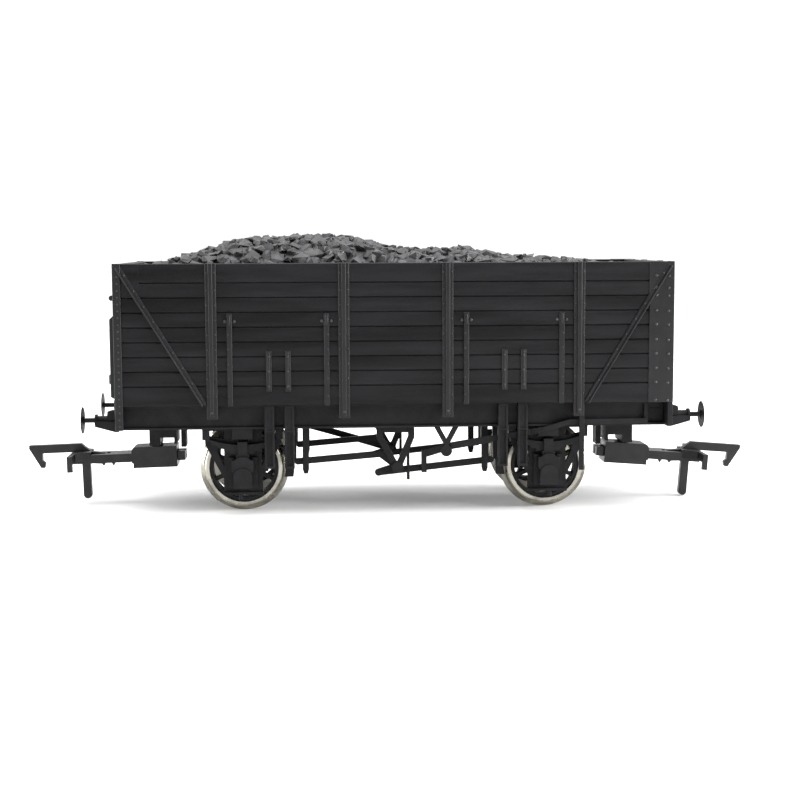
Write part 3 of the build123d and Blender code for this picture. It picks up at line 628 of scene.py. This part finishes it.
def lump_hull(rng, radius):
    """An angular lump about the origin: the convex hull of scattered points."""
    turn = Euler((rng.uniform(-0.6, 0.6), rng.uniform(-0.6, 0.6), rng.uniform(0, 6.3))).to_matrix()
    stretch = Vector((rng.uniform(0.9, 1.25), rng.uniform(0.75, 1.0), rng.uniform(0.6, 0.85)))
    bm = bmesh.new()
    for _ in range(rng.randint(12, 18)):
        direction = Vector([rng.gauss(0, 1) for _ in range(3)]).normalized()
        point = Vector([direction[i] * stretch[i] for i in range(3)]) * radius * rng.uniform(0.9, 1.05)
        bm.verts.new(turn @ point)
    bmesh.ops.convex_hull(bm, input=bm.verts)
    loose = [v for v in bm.verts if not v.link_faces]
    bmesh.ops.delete(bm, geom=loose, context="VERTS")
    bmesh.ops.dissolve_limit(bm, angle_limit=math.radians(20), verts=bm.verts, edges=bm.edges)
    bmesh.ops.triangulate(bm, faces=[f for f in bm.faces if len(f.verts) > 4])
    bm.verts.index_update()
    return bm


def lump(shape, rng, x, y, top, radius):
    """One lump under a point of the heap, kept inside the walls and above the load's underside."""
    bm = lump_hull(rng, radius)
    reach_x = LOAD_HALF_L - max(abs(v.co.x) for v in bm.verts)
    reach_y = LOAD_HALF_W - max(abs(v.co.y) for v in bm.verts)
    x = max(-reach_x, min(reach_x, x))
    y = max(-reach_y, min(reach_y, y))
    height = max(v.co.z for v in bm.verts)
    verts = [v.co + Vector((x, y, top - height)) for v in bm.verts]
    for spot in verts:
        spot.z = max(spot.z, LOAD_UNDER + 0.05)
    shape.add(verts, [[v.index for v in f.verts] for f in bm.faces])
    bm.free()


def coal_bed(shape):
    """Closed bed of coal a little below the surface of the heap."""
    columns = 40
    rows = 14
    verts = []
    for i in range(columns + 1):
        for j in range(rows + 1):
            x = -LOAD_HALF_L + 2 * LOAD_HALF_L * i / columns
            y = -LOAD_HALF_W + 2 * LOAD_HALF_W * j / rows
            rough = noise.noise(Vector((x, y, 3.0)) * 0.8) * 0.5
            verts.append((x, y, max(LOAD_UNDER + 0.2, heap_height(x, y) - BED_DEPTH + rough)))
    layer = len(verts)
    verts += [(x, y, LOAD_UNDER) for x, y, _ in verts]
    faces = []
    for i in range(columns):
        for j in range(rows):
            a = i * (rows + 1) + j
            b = a + rows + 1
            faces.append((a, b, b + 1, a + 1))
            faces.append((layer + a, layer + a + 1, layer + b + 1, layer + b))
    rim = list(range(rows + 1))
    rim += [i * (rows + 1) + rows for i in range(1, columns + 1)]
    rim += [columns * (rows + 1) + j for j in range(rows - 1, -1, -1)]
    rim += [i * (rows + 1) for i in range(columns - 1, 0, -1)]
    for a, b in zip(rim, rim[1:] + rim[:1]):
        faces.append((a, b, layer + b, layer + a))
    shape.add(verts, faces)


def coal_heap():
    """The coal load: the bed with angular lumps packed closely over it."""
    rng = random.Random(HEAP_SEED)
    shape = Shape()
    coal_bed(shape)
    for step, small, large, sink in LUMP_LAYERS:
        x = -LOAD_HALF_L + step / 2
        while x < LOAD_HALF_L:
            y = -LOAD_HALF_W + step / 2
            while y < LOAD_HALF_W:
                px = x + rng.uniform(-0.4, 0.4) * step
                py = y + rng.uniform(-0.4, 0.4) * step
                top = heap_height(px, py) - sink + rng.uniform(-0.35, 0.25)
                lump(shape, rng, px, py, min(LOAD_TOP, top), rng.uniform(small, large))
                y += step
            x += step
    piece("coal_heap", shape, "coal_load", "coal", 0, ["coal_load"], flat=True)


# ---------------------------------------------------------------- the rest, from the CAD nodes
def body_of_node(node):
    """Name of the body that a CAD node belongs to."""
    for body, members in frame["record"]["behaviour"]["bodies"].items():
        if node in members:
            return body
    raise ValueError(node)


def chassis_pieces():
    """Rounded copies of every other CAD node, in its own material."""
    slots = {entry["node"]: entry["material_slot"] for entry in frame["record"]["subparts"]}
    for node in sorted(frame["nodes"]):
        if node in ("body_shell", "coal_load"):
            continue
        softened(node, slots[node], body_of_node(node))


# ---------------------------------------------------------------- studio, in metres
FLOOR_HALF_M = 3.0
# name, place, aim, side of the square, power in watts
LIGHTS = (
    ("overhead", (0.0, -0.05, 0.5), (0, 0, 0.02), 0.4, 1.6),
    ("side_right", (0.5, -0.07, 0.1), (0, -0.016, 0.025), 0.22, 3.2),
    ("side_left", (-0.5, -0.06, 0.1), (0, -0.016, 0.025), 0.22, 2.6),
    ("front_right", (0.26, -0.2, 0.12), (0.05, -0.016, 0.028), 0.1, 0.75),
)


def soft_light(name, place, target, size, power):
    """Square area light aimed at a point."""
    data = bpy.data.lights.new(name, "AREA")
    data.size = size
    data.energy = power
    light = bpy.data.objects.new(name, data)
    light.location = place
    light.rotation_euler = (Vector(target) - Vector(place)).to_track_quat("-Z", "Y").to_euler()
    bpy.context.scene.collection.objects.link(light)


def surroundings():
    """Pale world, brighter behind the wagon and overhead than in front of it."""
    world = bpy.data.worlds.new("studio")
    bpy.context.scene.world = world
    world.use_nodes = True
    tree = world.node_tree
    place = tree.nodes.new("ShaderNodeTexCoord")
    split = tree.nodes.new("ShaderNodeSeparateXYZ")
    tree.links.new(place.outputs["Generated"], split.inputs["Vector"])
    behind = value_range(tree, split.outputs["Y"], -0.75, 0.1, 0.22, 1.1)
    above = value_range(tree, split.outputs["Z"], 0.25, 0.8, 0.0, 1.1)
    total = tree.nodes.new("ShaderNodeMath")
    total.operation = "ADD"
    tree.links.new(behind, total.inputs[0])
    tree.links.new(above, total.inputs[1])
    background = tree.nodes["Background"]
    background.inputs["Color"].default_value = (1, 1, 1, 1)
    tree.links.new(total.outputs["Value"], background.inputs["Strength"])


def studio_floor():
    """Pale floor under the wheel flanges."""
    half = FLOOR_HALF_M
    mesh = bpy.data.meshes.new("floor")
    mesh.from_pydata([(-half, -half, 0), (half, -half, 0), (half, half, 0), (-half, half, 0)], [],
                     [(0, 1, 2, 3)])
    mesh.materials.append(floor_material())
    floor = bpy.data.objects.new("floor", mesh)
    bpy.context.scene.collection.objects.link(floor)


def studio():
    """White surroundings, pale floor and soft lights."""
    surroundings()
    bpy.context.scene.view_settings.view_transform = "Standard"
    studio_floor()
    for name, place, target, size, power in LIGHTS:
        soft_light(name, place, target, size, power)


def camera():
    """Camera on the front side, a little to the left and above the rim."""
    data = bpy.data.cameras.new("camera")
    data.sensor_width = 36
    data.lens = 68.61
    data.shift_x = -0.0057
    data.shift_y = -0.0017
    data.clip_start = 0.01
    data.clip_end = 20
    view = bpy.data.objects.new("camera", data)
    view.location = (-0.01202, -0.25055, 0.04265)
    yaw, pitch, roll = (math.radians(a) for a in (3.226, 5.879, -0.234))
    turn = Euler((math.pi / 2 - pitch, 0, -yaw)).to_quaternion() @ Quaternion((0, 0, 1), roll)
    view.rotation_euler = turn.to_euler()
    bpy.context.scene.collection.objects.link(view)
    bpy.context.scene.camera = view


camera()
studio()
body_planks()
left_corner_plates()
body_ironwork()
end_ironwork()
body_rivets()
coal_heap()
chassis_pieces()
